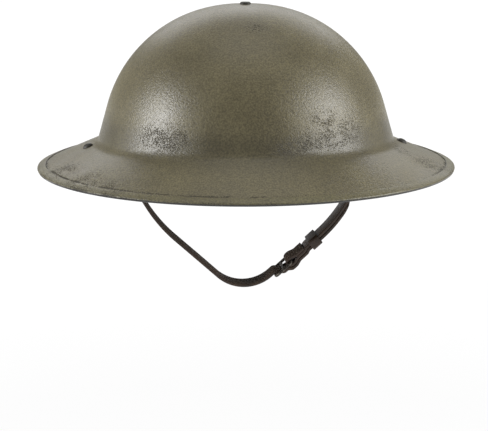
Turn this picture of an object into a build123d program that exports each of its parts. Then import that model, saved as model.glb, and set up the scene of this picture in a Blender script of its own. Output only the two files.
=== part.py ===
"""A pressed steel helmet with a shallow sloping brim, its liner and its chin strap.

Millimetres, +Z up. The origin is the middle of the liner's lower edge, where a head goes in.
The front faces -Y and the wearer's left is +X.
"""

import os
from math import asin, atan, atan2, cos, degrees, hypot, pi, radians, sin, sqrt, tan

from build123d import *

os.makedirs("parts", exist_ok=True)

# Shell: bowl and brim of one pressed sheet
brim_length = 305
brim_width = 292.6
brim_drop = 23.8
brim_foot_side = 7.4
brim_foot_end = 0.9
bowl_length = 220
bowl_width = 203.4
bowl_height = 88.1
crown_radius = 158
shoulder_off_axis = 5.6
wall_draft = 15.8
steel = 0.9
hollow_fillet = 5.5

# Rim band: sheet folded over the raw edge of the brim
band_sheet = 0.75
band_reach = 5.6
band_nose = 0.9
band_slip = 0.06
band_round = 0.9
band_joint_gap = 0.6

# Crown rivet and its washer
crown_head_radius = 3.75
crown_head_height = 1.4
crown_shank_radius = 2
crown_tail_radius = 3.1
crown_tail_height = 1.3
washer_radius = 8
washer_thickness = 1.2
rivet_play = 0.06
seat_gap = 0.1

# Side rivets and the folded brackets that they hold
side_head_radius = 3.8
side_head_height = 2.2
side_shank_radius = 1.8
side_tail_radius = 2.9
side_tail_height = 1.3
rivet_out = 6.7
bracket_sheet = 1
bracket_width = 10
bracket_tail = 5
eye_in = 6.8
eye_clearance = 0.72

# Bales: wire loops that turn in the bracket eyes
wire_radius = 1.3
wire_play = 0.45
bale_reach = 12.5
bale_half_span = 12.4
bale_corner = 2.6
bale_lean = 29

# Chin strap
leather = 2
strap_width = 19
strap_lean_high = 31
strap_lean_low = 48
strap_straight = 5
strap_bend_radius = 100
leather_play = 0.4
loop_taper = 8
loop_length = 17
flex_length = 20
seam_gap = 0.1
loop_rivet_at = 12
strap_rivet_radius = 1
strap_rivet_head = 2.8
strap_rivet_height = 0.8
tip_back = 3

# Slide buckle and keeper
buckle_wire = 1.1
buckle_bar = 1
buckle_play = 0.25
buckle_side_play = 1
buckle_pitch = 7
buckle_corner = 2
buckle_to_chin = 2
fold_length = 13
keeper_from_bend = 1
keeper_to_fold = 5
keeper_width = 8
keeper_leather = 1.4
keeper_play = 0.3

# Liner bands and the rubber tubes between them
band_height = 38
liner_clearance = 0.8
outer_band_thickness = 1.6
head_band_thickness = 2
buffer_count = 12
buffer_radius = 6
buffer_bore = 3.2
buffer_clearance = 0.15
buffer_end = 1
pin_radius = 0.9
pin_play = 0.1
pin_head_radius = 2
pin_head_height = 0.8
pin_leg_reach = 4
pin_leg_thickness = 0.5
pin_leg_width = 1.6

# Crown of the liner
crown_strap_width = 30
crown_strap_thickness = 1.6
crown_strap_clearance = 0.3
crown_strap_lap = 0.2
crown_buffer_radius = 19
crown_buffer_thickness = 4
felt_radius = 46
felt_hole = 10
layer_gap = 0.3
net_thickness = 1.6
net_low = 33
net_opening = 22
lace_radius = 1.25
lace_knot_radius = 2.4

# One overrun serves every cut
overrun = 5

half_width = bowl_width / 2
half_length = bowl_length / 2
bowl_oval = bowl_length / bowl_width
draft = radians(wall_draft)
edge_inset = band_nose + band_sheet + band_slip

# The brim meets the bowl lower at the sides than at the front and back
foot_half_side = half_width + brim_foot_side * tan(draft)
foot_half_end = half_length + brim_foot_end * tan(draft) * bowl_oval
flare_width = atan2(brim_drop - brim_foot_side, brim_width / 2 - edge_inset - foot_half_side)
flare_length = atan2(brim_drop - brim_foot_end, brim_length / 2 - edge_inset - foot_half_end)

# The shoulder arc touches the crown arc and the straight wall, which fixes its height and radius
crown_centre = bowl_height - crown_radius
wall_reach = (half_width - shoulder_off_axis) * cos(draft)
slack = crown_radius - wall_reach
middle = crown_centre + slack * sin(draft)
spread = middle**2 - cos(draft) ** 2 * (shoulder_off_axis**2 + crown_centre**2 - slack**2)
shoulder_height = (middle + sqrt(spread)) / cos(draft) ** 2
shoulder_radius = wall_reach - shoulder_height * sin(draft)
crown_angle = atan2(shoulder_off_axis, shoulder_height - crown_centre)


def bowl_reach(inset, height):
    """Half width of the bowl at a height, on the surface that lies one inset inside it."""
    arc = shoulder_radius - inset
    if height < shoulder_height + arc * sin(draft):
        return half_width - inset / cos(draft) - height * tan(draft)
    return shoulder_off_axis + sqrt(arc**2 - (height - shoulder_height) ** 2)


def bowl_rise(inset, reach):
    """Height of the bowl at a half width near its crown, on the surface one inset inside it."""
    if reach < (crown_radius - inset) * sin(crown_angle):
        return crown_centre + sqrt((crown_radius - inset) ** 2 - reach**2)
    arc = shoulder_radius - inset
    return shoulder_height + sqrt(arc**2 - (reach - shoulder_off_axis) ** 2)


def bowl_solid(inset, low, mode=Mode.ADD):
    """A domed solid with an oval base at the height low, one inset inside the bowl."""
    with BuildPart(mode=Mode.PRIVATE) as dome:
        with BuildSketch(Plane.XZ):
            with BuildLine():
                CenterArc(
                    (0, crown_centre),
                    crown_radius - inset,
                    90 - degrees(crown_angle),
                    degrees(crown_angle),
                )
                shoulder_low = asin((low - shoulder_height) / (shoulder_radius - inset))
                start = max(draft, shoulder_low)
                shoulder = CenterArc(
                    (shoulder_off_axis, shoulder_height),
                    shoulder_radius - inset,
                    degrees(start),
                    90 - degrees(crown_angle) - degrees(start),
                )
                if shoulder_low < draft:
                    Line(shoulder @ 0, (bowl_reach(inset, low), low))
                Line((bowl_reach(inset, low), low), (0, low))
                Line((0, low), (0, bowl_rise(inset, 0)))
            make_face()
        revolve(axis=Axis.Z)
        scale(by=(1, bowl_oval, 1))
    add(dome.part, mode=mode)


def flare_half(height, above=0):
    """Half width and half length of the brim's slope at a height, or of a surface above it."""
    side_rise = above / cos(flare_width) - height - brim_foot_side
    end_rise = above / cos(flare_length) - height - brim_foot_end
    across = foot_half_side + side_rise / tan(flare_width)
    along = foot_half_end + end_rise / tan(flare_length)
    return across, along


def oval_cone(low, low_half, high, high_half, mode=Mode.ADD):
    """A solid between two ovals, each given by its height and its half width and length."""
    with BuildPart(mode=Mode.PRIVATE) as cone:
        with BuildSketch(Plane.XY.offset(low)):
            Ellipse(*low_half)
        with BuildSketch(Plane.XY.offset(high)):
            Ellipse(*high_half)
        loft(ruled=True)
    add(cone.part, mode=mode)


def flare_plane(side, out, above):
    """A plane on the brim's slope at the side: X runs outward along it and Z stands on it."""
    along = Vector(side * cos(flare_width), 0, -sin(flare_width))
    normal = Vector(side * sin(flare_width), 0, cos(flare_width))
    base = Vector(side * foot_half_side, 0, -brim_foot_side)
    return Plane(origin=base + along * out + normal * above, x_dir=along, z_dir=normal)


def finish(piece, name):
    """Label a piece and write it as its own file."""
    piece.part.label = name
    export_step(piece.part, f"parts/{name}.step")


def flared_bowl(inset, hollow):
    """The bowl and its brim as one solid, one inset inside the outer faces, with a hollow between them."""
    with BuildPart(mode=Mode.PRIVATE) as body:
        bowl_solid(inset, -(brim_foot_side + brim_drop) / 2)
        base = flare_half(-brim_drop, -inset)
        oval_cone(-brim_drop, base, 0, flare_half(0, -inset))
        fillet(
            body.edges().filter_by(
                lambda edge: -brim_foot_side - inset < edge.center().Z < -brim_foot_end + inset
            ),
            hollow,
        )
    return body.part


with BuildPart() as helmet_shell:
    add(flared_bowl(0, hollow_fillet))
    add(flared_bowl(steel, hollow_fillet + steel), mode=Mode.SUBTRACT)
    Cylinder(crown_shank_radius + rivet_play, 2 * bowl_height + overrun, mode=Mode.SUBTRACT)
    for side in (1, -1):
        with Locations(flare_plane(side, rivet_out, 0)):
            Cylinder(side_shank_radius + rivet_play, 2 * steel + overrun, mode=Mode.SUBTRACT)
finish(helmet_shell, "helmet_shell")


with BuildPart() as rim_band:
    # A folded section: its top face, its nose beyond the edge, its lower face and its slot
    band_top = band_sheet + band_slip
    band_low = -steel - band_slip - band_sheet
    top_height = band_top * cos(flare_width) - brim_drop
    inner_height = top_height + band_reach * sin(flare_width)
    nose_height = top_height - band_nose * sin(flare_width)
    across, along = flare_half(nose_height, band_top)
    thickness = band_top - band_low
    nose_low = nose_height - thickness * cos(flare_width)
    inner_low = inner_height - thickness * cos(flare_width)
    oval_cone(nose_height, (across, along), inner_height, flare_half(inner_height, band_top))
    low_half = flare_half(nose_low, band_low)
    oval_cone(nose_low, low_half, nose_height, (across, along))
    noses = rim_band.edges().filter_by(lambda e: e.center().Z < inner_height - band_sheet)
    fillet(noses.group_by(SortBy.LENGTH)[-1] + noses.group_by(SortBy.LENGTH)[-2], band_round)
    with BuildPart(mode=Mode.PRIVATE) as hollow:
        inner_half = flare_half(inner_low, band_low)
        oval_cone(inner_low, inner_half, inner_height, flare_half(inner_height, band_top))
        oval_cone(nose_low, low_half, inner_low, inner_half)
    add(hollow.part, mode=Mode.SUBTRACT)
    with BuildPart(mode=Mode.PRIVATE) as slot:
        slot_low = -brim_drop - band_slip
        oval_cone(
            slot_low,
            flare_half(slot_low, band_slip),
            inner_height + overrun,
            flare_half(inner_height + overrun, band_slip),
        )
        under = -steel - band_slip
        oval_cone(
            slot_low,
            flare_half(slot_low, under),
            inner_height + overrun,
            flare_half(inner_height + overrun, under),
            mode=Mode.SUBTRACT,
        )
    add(slot.part, mode=Mode.SUBTRACT)
    with Locations((0, -brim_length / 2, -brim_drop)):
        Box(band_joint_gap, 4 * band_reach, 4 * band_reach, mode=Mode.SUBTRACT)
finish(rim_band, "rim_band")


def rivet(plane, head, shank_radius, shank_length, tail, domed=True):
    """A rivet whose head sits on the plane and whose shank runs down to a peened tail."""
    head_radius, head_height = head
    tail_radius, tail_height = tail
    with BuildPart(mode=Mode.PRIVATE) as body:
        with BuildSketch(Plane.XZ):
            with BuildLine():
                if domed:
                    ThreePointArc(
                        (0, head_height),
                        (head_radius * sin(pi / 4), head_height * cos(pi / 4)),
                        (head_radius, 0),
                    )
                else:
                    Polyline(
                        (0, head_height),
                        (head_radius - head_height / 2, head_height),
                        (head_radius, head_height / 2),
                        (head_radius, 0),
                    )
                Polyline(
                    (head_radius, 0),
                    (shank_radius, 0),
                    (shank_radius, -shank_length),
                    (tail_radius, -shank_length),
                    (tail_radius - tail_height / 2, -shank_length - tail_height),
                    (0, -shank_length - tail_height),
                    (0, head_height),
                )
            make_face()
        revolve(axis=Axis.Z)
    add(plane * body.part)


# The stack under the crown rivet, each layer measured inwards from the bowl's surface
strap_top = steel + crown_strap_clearance
strap_under = strap_top + crown_strap_thickness
rubber_top = strap_under + layer_gap
rubber_under = rubber_top + crown_buffer_thickness
washer_top = bowl_rise(rubber_under, washer_radius) - seat_gap

with BuildPart() as crown_rivet:
    rivet(
        Plane.XY.offset(bowl_height + seat_gap),
        (crown_head_radius, crown_head_height),
        crown_shank_radius,
        bowl_height - washer_top + washer_thickness + 2 * seat_gap,
        (crown_tail_radius, crown_tail_height),
        domed=False,
    )
finish(crown_rivet, "crown_rivet")

with BuildPart() as crown_washer:
    with BuildSketch(Plane.XY.offset(washer_top)):
        Circle(washer_radius)
        Circle(crown_shank_radius + rivet_play, mode=Mode.SUBTRACT)
    extrude(amount=-washer_thickness)
finish(crown_washer, "crown_washer")

bracket_under = steel + seat_gap + 2 * bracket_sheet
eye_radius = wire_radius + wire_play

# The eye's barrel is flush with the leaf's underside, and stays below the liner
barrel = eye_radius + bracket_sheet
barrel_rise = barrel + eye_clearance + eye_in * sin(flare_width) - brim_foot_side
eye_drop = max(bracket_under - barrel, barrel_rise / cos(flare_width))

for side, name in ((1, "left"), (-1, "right")):
    with BuildPart() as side_rivet:
        rivet(
            flare_plane(side, rivet_out, seat_gap),
            (side_head_radius, side_head_height),
            side_shank_radius,
            bracket_under + 2 * seat_gap,
            (side_tail_radius, side_tail_height),
        )
    finish(side_rivet, f"side_rivet_{name}")

    with BuildPart() as strap_bracket:
        base = flare_plane(side, 0, 0)
        section = Plane(origin=base.origin, x_dir=base.x_dir, z_dir=base.y_dir)
        turn = section.to_local_coords(base.origin + base.z_dir).Y
        with BuildSketch(section):
            leaf_middle = -steel - seat_gap - bracket_sheet
            leaf_out = rivet_out + bracket_tail
            with Locations(((leaf_out - eye_in) / 2, turn * leaf_middle)):
                Rectangle(leaf_out + eye_in, 2 * bracket_sheet)
            with Locations((-eye_in, -turn * eye_drop)):
                Circle(barrel)
                Circle(eye_radius, mode=Mode.SUBTRACT)
        extrude(amount=bracket_width / 2, both=True)
        with Locations(flare_plane(side, rivet_out, 0)):
            Cylinder(
                side_shank_radius + rivet_play,
                2 * bracket_under + overrun,
                mode=Mode.SUBTRACT,
            )
    finish(strap_bracket, f"strap_bracket_{name}")

# Places of the left bale's two bars, on the plane of the strap
eye = flare_plane(1, -eye_in, -eye_drop).origin
bale_way = Vector(-sin(radians(bale_lean)), 0, -cos(radians(bale_lean)))
bar = eye + bale_way * bale_reach


def mirrored(point, side):
    """A point of the left side, or its twin on the right."""
    return Vector(side * point.X, point.Y, point.Z)


for side, name in ((1, "left"), (-1, "right")):
    with BuildPart() as bale:
        top, low = mirrored(eye, side), mirrored(bar, side)
        across = Vector(0, bale_half_span, 0)
        with BuildLine() as loop:
            FilletPolyline(
                top,
                top + across,
                low + across,
                low - across,
                top - across,
                close=True,
                radius=[0, bale_corner, bale_corner, bale_corner, bale_corner],
            )
        with BuildSketch(Plane(origin=loop.line @ 0, z_dir=loop.line % 0)):
            Circle(wire_radius)
        sweep(path=loop.line)
    finish(bale, f"bale_{name}")
    print(f"bale_{name} eye {top} bar {low}")

# Chin strap: each half runs straight from the bale, bends once, and meets the other at the chin
high_way = Vector(-sin(radians(strap_lean_high)), 0, -cos(radians(strap_lean_high)))
low_way = Vector(-sin(radians(strap_lean_low)), 0, -cos(radians(strap_lean_low)))
high_out = Vector(cos(radians(strap_lean_high)), 0, -sin(radians(strap_lean_high)))
low_out = Vector(cos(radians(strap_lean_low)), 0, -sin(radians(strap_lean_low)))
flex_end = loop_length + flex_length
bend_turn = radians(strap_lean_low - strap_lean_high)
bend_run = strap_bend_radius * tan(bend_turn / 2)
bend = bar + high_way * (flex_end + strap_straight + bend_run)
chin_run = bend.X / sin(radians(strap_lean_low))
chin = bend + low_way * chin_run


def high_point(along, out):
    """A point by the strap's upper run: along from the bar, and out from its middle line."""
    return bar + high_way * along + high_out * out


def low_point(along, out):
    """A point by the strap's lower run: along from the bend, and out from its middle line."""
    return bend + low_way * along + low_out * out


def bend_point(out):
    """The corner between the two runs of a line that lies outside the strap's middle line."""
    return bend + (high_out + low_out).normalized() * (out / cos(bend_turn / 2))


def flat(point, side):
    """A point of the strap as a place in its sketch, on the left side or the right."""
    return side * point.X, point.Z


for side, name in ((1, "left"), (-1, "right")):
    with BuildPart() as strap_loop:
        with BuildSketch(Plane.XZ):
            with Locations(flat(bar, side)):
                Circle(wire_radius + leather_play + leather)
            with BuildLine():
                Polyline(
                    *[
                        flat(high_point(along, out), side)
                        for along, out in (
                            (0, wire_radius + leather_play + leather),
                            (loop_taper, leather),
                            (loop_length, leather),
                            (loop_length, -leather),
                            (loop_taper, -leather),
                            (0, -wire_radius - leather_play - leather),
                        )
                    ],
                    close=True,
                )
            make_face()
            with Locations(flat(bar, side)):
                Circle(wire_radius + leather_play, mode=Mode.SUBTRACT)
        extrude(amount=strap_width / 2, both=True)
        at = mirrored(high_point(loop_rivet_at, 0), side)
        rivet_plane = Plane(origin=at, x_dir=(0, 1, 0), z_dir=mirrored(high_out, side))
        with Locations(rivet_plane):
            Cylinder(strap_rivet_radius + rivet_play, 2 * leather + overrun, mode=Mode.SUBTRACT)
    finish(strap_loop, f"strap_loop_{name}")

    with BuildPart() as strap_rivet:
        rivet(
            rivet_plane.offset(leather + seat_gap),
            (strap_rivet_head, strap_rivet_height),
            strap_rivet_radius,
            2 * (leather + seat_gap),
            (strap_rivet_head, strap_rivet_height),
        )
    finish(strap_rivet, f"strap_rivet_{name}")

    with BuildPart() as strap_flex:
        with BuildSketch(Plane.XZ):
            with BuildLine():
                Line(
                    flat(high_point(loop_length + seam_gap, 0), side),
                    flat(high_point(flex_end - seam_gap, 0), side),
                )
            trace(line_width=leather)
        extrude(amount=strap_width / 2, both=True)
    finish(strap_flex, f"strap_flex_{name}")

# Places along the lower run of the right side, counted from the bend; the chin's arc takes the rest
keeper_at = bend_run + keeper_from_bend + keeper_width / 2
fold_end = keeper_at + keeper_width / 2 + keeper_to_fold
high_bar = fold_end + fold_length
middle_bar = high_bar + buckle_pitch
low_bar = middle_bar + buckle_pitch
chin_radius = (chin_run - low_bar - buckle_to_chin) * tan(radians(strap_lean_low))

# How far the long strap's middle line stands off the short strap's
wrap = buckle_wire + buckle_play + leather / 2
crossing = asin(2 * wrap / buckle_pitch)
wrap_corner = wrap * tan(crossing / 2)
over_fold = buckle_wire + buckle_play + leather + buckle_play + leather / 2
over_double = leather + buckle_play + leather / 2
over_single = leather + buckle_play

with BuildPart() as long_strap:
    # The strap passes under the lower bar and over the other two, to its free end
    chin_height = chin.Z + wrap / sin(radians(strap_lean_low)) / 2
    chin_shift = wrap / cos(radians(strap_lean_low)) / 2
    route = (
        (flat(high_point(flex_end, 0), 1), None),
        (flat(bend, 1), strap_bend_radius),
        ((chin_shift, chin_height), chin_radius),
        (flat(low_point(low_bar - wrap_corner, -wrap), -1), wrap),
        (flat(low_point(middle_bar + wrap_corner, wrap), -1), wrap),
        (flat(low_point(middle_bar - leather, wrap), -1), leather),
        (flat(low_point(high_bar + leather, over_fold), -1), leather),
        (flat(low_point(high_bar - leather, over_fold), -1), leather),
        (flat(low_point(high_bar - 3 * leather, over_double), -1), leather),
        (flat(low_point(fold_end, over_double), -1), leather),
        (flat(low_point(fold_end - leather, over_single), -1), leather),
        (flat(bend_point(over_single), -1), strap_bend_radius + over_single),
        (flat(high_point(flex_end + tip_back, over_single), -1), None),
    )
    with BuildSketch(Plane.XZ):
        with BuildLine():
            FilletPolyline(
                *[place for place, radius in route],
                radius=[radius for place, radius in route if radius],
            )
        trace(line_width=leather)
    extrude(amount=strap_width / 2, both=True)
finish(long_strap, "long_strap")

with BuildPart() as short_strap:
    with BuildSketch(Plane.XZ):
        with BuildLine():
            FilletPolyline(
                flat(high_point(flex_end, 0), -1),
                flat(bend, -1),
                flat(low_point(high_bar, 0), -1),
                radius=[strap_bend_radius],
            )
        trace(line_width=leather)
        with Locations(flat(low_point(high_bar, 0), -1)):
            Circle(buckle_wire + buckle_play + leather)
        with BuildLine():
            Polyline(
                *[
                    flat(low_point(along, out), -1)
                    for along, out in (
                        (high_bar, buckle_wire + buckle_play + leather),
                        (high_bar - leather, buckle_wire + buckle_play + leather),
                        (high_bar - 3 * leather, leather),
                        (fold_end, leather),
                        (fold_end, -leather),
                        (high_bar - 3 * leather, -leather),
                        (high_bar - leather, -buckle_wire - buckle_play - leather),
                        (high_bar, -buckle_wire - buckle_play - leather),
                    )
                ],
                close=True,
            )
        make_face()
        with Locations(flat(low_point(high_bar, 0), -1)):
            Circle(buckle_wire + buckle_play, mode=Mode.SUBTRACT)
    extrude(amount=strap_width / 2, both=True)
finish(short_strap, "short_strap")

with BuildPart() as slide_buckle:
    rail = Vector(0, strap_width / 2 + buckle_side_play + buckle_wire, 0)
    near, far = mirrored(low_point(low_bar, 0), -1), mirrored(low_point(high_bar, 0), -1)
    with BuildLine() as frame:
        FilletPolyline(
            near,
            near + rail,
            far + rail,
            far - rail,
            near - rail,
            close=True,
            radius=[0, buckle_corner, buckle_corner, buckle_corner, buckle_corner],
        )
    with BuildSketch(Plane(origin=frame.line @ 0, z_dir=frame.line % 0)):
        Circle(buckle_wire)
    sweep(path=frame.line)
    with BuildSketch(Plane(origin=(near + far) / 2, z_dir=(0, 1, 0))):
        Circle(buckle_bar)
    extrude(amount=rail.Y, both=True)
finish(slide_buckle, "slide_buckle")

with BuildPart() as strap_keeper:
    keeper_plane = Plane(
        origin=mirrored(low_point(keeper_at, 0), -1),
        x_dir=(0, 1, 0),
        z_dir=mirrored(low_way, -1),
    )
    outward = keeper_plane.to_local_coords(
        keeper_plane.origin + mirrored(low_out, -1)
    ).Y
    keeper_low = -leather / 2 - keeper_play
    keeper_high = over_single + leather / 2 + keeper_play
    with BuildSketch(keeper_plane):
        with Locations((0, outward * (keeper_low + keeper_high) / 2)):
            wide, deep = strap_width + 2 * keeper_play, keeper_high - keeper_low
            RectangleRounded(
                wide + 2 * keeper_leather, deep + 2 * keeper_leather, keeper_leather
            )
            Rectangle(wide, deep, mode=Mode.SUBTRACT)
    extrude(amount=keeper_width / 2, both=True)
finish(strap_keeper, "strap_keeper")
print(f"swing pivot {high_point(loop_length + flex_length / 2, 0)}")
print(f"keeper {keeper_plane.origin} way {keeper_plane.z_dir}")


def liner_half(inset, height):
    """Half width and length of the liner at a height, one inset inside the bowl's inner wall.

    The bands are straight cones that keep clear of the bowl at both of their edges.
    """
    low_width = bowl_reach(steel, 0)
    high_width = bowl_reach(steel, band_height)
    across = low_width + (high_width - low_width) * height / band_height
    return across - inset, across * bowl_oval - inset


def liner_ring(inset, thickness):
    """A band of the liner, one inset in from the bowl's inner wall."""
    oval_cone(0, liner_half(inset, 0), band_height, liner_half(inset, band_height))
    low, high, inner = -overrun, band_height + overrun, inset + thickness
    oval_cone(low, liner_half(inner, low), high, liner_half(inner, high), mode=Mode.SUBTRACT)


def liner_frame(index, inset):
    """A place on the liner beside one buffer: outward, up along the liner, and its middle."""
    angle = 2 * pi * (index + 1 / 2) / buffer_count
    low, high = liner_half(inset, 0), liner_half(inset, band_height)
    foot = Vector(low[0] * cos(angle), low[1] * sin(angle), 0)
    head = Vector(high[0] * cos(angle), high[1] * sin(angle), band_height)
    upward = (head - foot).normalized()
    around = Vector(-low[0] * sin(angle), low[1] * cos(angle), 0).normalized()
    return around.cross(upward), upward, (foot + head) / 2


# The bands lean, so a level inset between them is a little more than the tube's diameter
liner_lean = max(
    atan((low - high) / band_height)
    for low, high in zip(liner_half(0, 0), liner_half(0, band_height))
)
buffer_room = (buffer_radius + buffer_clearance) / cos(liner_lean)
# The pins' legs need their own room between the outer band and the steel
pin_reach = buffer_radius + buffer_clearance + outer_band_thickness + seat_gap + pin_leg_thickness
outer_band_inset = max(
    liner_clearance, pin_reach / cos(liner_lean) - outer_band_thickness - buffer_room
)
buffer_inset = outer_band_inset + outer_band_thickness + buffer_room
head_band_inset = buffer_inset + buffer_room

with BuildPart() as outer_band:
    liner_ring(outer_band_inset, outer_band_thickness)
    for index in range(buffer_count):
        outward, upward, middle = liner_frame(index, buffer_inset)
        with Locations(Plane(origin=middle + outward * buffer_radius, z_dir=outward)):
            Cylinder(pin_radius + pin_play, 2 * buffer_radius, mode=Mode.SUBTRACT)
finish(outer_band, "outer_band")

with BuildPart() as head_band:
    liner_ring(head_band_inset, head_band_thickness)
finish(head_band, "head_band")

for index in range(buffer_count):
    outward, upward, middle = liner_frame(index, buffer_inset)
    with BuildPart() as buffer:
        with BuildSketch(Plane(origin=middle, z_dir=upward)):
            Circle(buffer_radius)
            Circle(buffer_bore, mode=Mode.SUBTRACT)
        extrude(amount=band_height / 2 - buffer_end, both=True)
        with Locations(Plane(origin=middle + outward * buffer_radius, z_dir=outward)):
            Cylinder(pin_radius + pin_play, 2 * buffer_bore, mode=Mode.SUBTRACT)
    finish(buffer, f"buffer_{index + 1:02d}")

with BuildPart() as buffer_pins:
    # Each pin's head lies in the tube's bore, and its leg is bent flat outside the band
    leg_out = buffer_radius + buffer_clearance + outer_band_thickness + seat_gap
    bore_seat = sqrt(buffer_bore**2 - pin_radius**2) - seat_gap
    head_out = bore_seat - pin_head_height / 2
    for index in range(buffer_count):
        outward, upward, middle = liner_frame(index, buffer_inset)
        head = Plane(
            origin=middle + outward * head_out,
            x_dir=upward,
            z_dir=outward,
        )
        with BuildSketch(head.offset(-pin_head_height / 2)):
            Rectangle(2 * pin_head_radius, 2 * pin_radius)
        extrude(amount=pin_head_height)
        with BuildSketch(head):
            Circle(pin_radius)
        extrude(amount=leg_out + pin_leg_thickness - head_out)
        with BuildSketch(Plane(origin=middle + outward * leg_out, x_dir=upward, z_dir=outward)):
            Rectangle(2 * pin_leg_reach, pin_leg_width)
        extrude(amount=pin_leg_thickness)
finish(buffer_pins, "buffer_pins")


def bowl_skin(top, under, low):
    """A domed layer of the liner between two insets, above a height."""
    bowl_solid(top, low)
    bowl_solid(under, low - overrun, mode=Mode.SUBTRACT)


with BuildPart() as crown_straps:
    bowl_skin(strap_top, strap_under, band_height + crown_strap_lap)
    with BuildSketch(Plane.XY):
        Rectangle(bowl_width, crown_strap_width)
        Rectangle(crown_strap_width, bowl_length)
    extrude(amount=bowl_height, mode=Mode.INTERSECT)
    Cylinder(crown_shank_radius + rivet_play, 2 * bowl_height, mode=Mode.SUBTRACT)
finish(crown_straps, "crown_straps")

with BuildPart() as crown_buffer:
    bowl_skin(rubber_top, rubber_under, band_height)
    with BuildSketch(Plane.XY):
        Circle(crown_buffer_radius)
        Circle(crown_shank_radius + rivet_play, mode=Mode.SUBTRACT)
    extrude(amount=bowl_height, mode=Mode.INTERSECT)
finish(crown_buffer, "crown_buffer")

# The net springs from inside the head band, and the felt fills what is left above it
net_half = liner_half(head_band_inset + head_band_thickness + layer_gap, net_low)
net_reach = min(net_half[0], net_half[1] / bowl_oval)
net_top = shoulder_radius - hypot(net_reach - shoulder_off_axis, net_low - shoulder_height)
felt_top = rubber_under + layer_gap
felt_under = net_top - layer_gap

with BuildPart() as felt_pad:
    bowl_skin(felt_top, felt_under, band_height)
    with BuildSketch(Plane.XY):
        Circle(felt_radius)
        Circle(felt_hole, mode=Mode.SUBTRACT)
    extrude(amount=bowl_height, mode=Mode.INTERSECT)
finish(felt_pad, "felt_pad")

with BuildPart() as crown_net:
    bowl_skin(net_top, net_top + net_thickness, net_low)
    with Locations((0, 0, net_low)):
        Cylinder(net_opening, 2 * bowl_height, mode=Mode.SUBTRACT)
finish(crown_net, "crown_net")

with BuildPart() as draw_lace:
    # The lace runs round the net's opening and its ends are tied in a flat knot
    lace_run = net_opening - layer_gap - lace_knot_radius
    lace_height = bowl_rise(net_top + lace_radius, lace_run)
    with Locations((0, 0, lace_height)):
        Torus(lace_run, lace_radius)
    with Locations((0, -lace_run, lace_height - lace_radius)):
        Sphere(lace_knot_radius)
print(f"felt thickness {felt_under - felt_top} net inset {net_top} lace height {lace_height}")
finish(draw_lace, "draw_lace")
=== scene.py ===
"""The looks of a pressed steel helmet with its liner and chin strap, in metres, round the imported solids."""

from math import asin, atan2, cos, hypot, pi, radians, sin, sqrt, tan

import bmesh
import bpy
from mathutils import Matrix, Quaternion, Vector, noise


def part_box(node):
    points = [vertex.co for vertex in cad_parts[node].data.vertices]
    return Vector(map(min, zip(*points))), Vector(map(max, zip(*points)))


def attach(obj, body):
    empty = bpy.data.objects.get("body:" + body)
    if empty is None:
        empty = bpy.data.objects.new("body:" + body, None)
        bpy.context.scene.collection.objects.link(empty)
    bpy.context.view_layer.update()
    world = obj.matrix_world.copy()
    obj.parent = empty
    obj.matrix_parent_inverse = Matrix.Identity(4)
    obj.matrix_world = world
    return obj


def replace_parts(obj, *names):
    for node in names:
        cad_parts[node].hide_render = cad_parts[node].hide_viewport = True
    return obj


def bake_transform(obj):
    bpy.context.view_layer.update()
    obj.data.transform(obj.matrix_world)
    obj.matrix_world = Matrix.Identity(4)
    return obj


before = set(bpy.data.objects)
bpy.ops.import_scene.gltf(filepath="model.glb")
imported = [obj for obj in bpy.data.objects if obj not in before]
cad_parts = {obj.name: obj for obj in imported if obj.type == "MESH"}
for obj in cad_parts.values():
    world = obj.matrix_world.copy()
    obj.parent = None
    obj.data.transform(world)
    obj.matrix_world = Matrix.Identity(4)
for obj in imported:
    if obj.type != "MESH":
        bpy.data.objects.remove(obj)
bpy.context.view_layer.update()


# Camera: it stands behind the helmet and a little above the brim.
# The middle of the bowl's foot is the origin, and origin_pixel says where it lies in the frame.
photo_width, photo_height = 488, 431
origin_pixel = (245.99, 130.32)
camera_distance = 1.4
camera_turn = radians(4.58)
camera_rise = radians(8.741)
camera_roll = radians(-0.188)
pixels_per_metre = 1429.8
film_width = 36


def new_object(name, data):
    """An object that stands in the scene."""
    made = bpy.data.objects.new(name, data)
    bpy.context.scene.collection.objects.link(made)
    return made


camera = new_object("camera", bpy.data.cameras.new("camera"))
bpy.context.scene.camera = camera
camera.data.sensor_width = film_width
camera.data.lens = film_width * pixels_per_metre * camera_distance / photo_width
camera.location = camera_distance * Vector(
    (cos(camera_rise) * sin(camera_turn), cos(camera_rise) * cos(camera_turn), sin(camera_rise))
)
level = (-camera.location).to_track_quat("-Z", "Y")
aim_right = (photo_width / 2 - origin_pixel[0]) / pixels_per_metre
aim_up = (origin_pixel[1] - photo_height / 2) / pixels_per_metre
aim = level @ Vector((aim_right, aim_up, 0))
camera.rotation_mode = "QUATERNION"
camera.rotation_quaternion = (aim - camera.location).to_track_quat("-Z", "Y") @ Quaternion(
    (0, 0, 1), camera_roll
)


# Studio: a plain pale floor well below the strap, a white surround, and soft lamps.
# Two lamps stand low on either side, a broad one lights the brim from beyond, and one hangs overhead.
floor_height = -0.3
floor_half = 12
floor_mesh = bpy.data.meshes.new("floor")
floor_mesh.from_pydata(
    [(x * floor_half, y * floor_half, floor_height) for x, y in ((-1, -1), (1, -1), (1, 1), (-1, 1))],
    [],
    [(0, 1, 2, 3)],
)
floor = new_object("floor", floor_mesh)


def feed(tree, socket, value):
    """Gives a shader socket its value, or joins another node's output to it."""
    if isinstance(value, bpy.types.NodeSocket):
        tree.links.new(value, socket)
    else:
        socket.default_value = value


def node(tree, kind, inputs=(), **settings):
    """A shader node with its settings and its inputs."""
    made = tree.nodes.new("ShaderNode" + kind)
    for name, value in settings.items():
        setattr(made, name, value)
    for name, value in dict(inputs).items():
        feed(tree, made.inputs[name], value)
    return made


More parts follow.
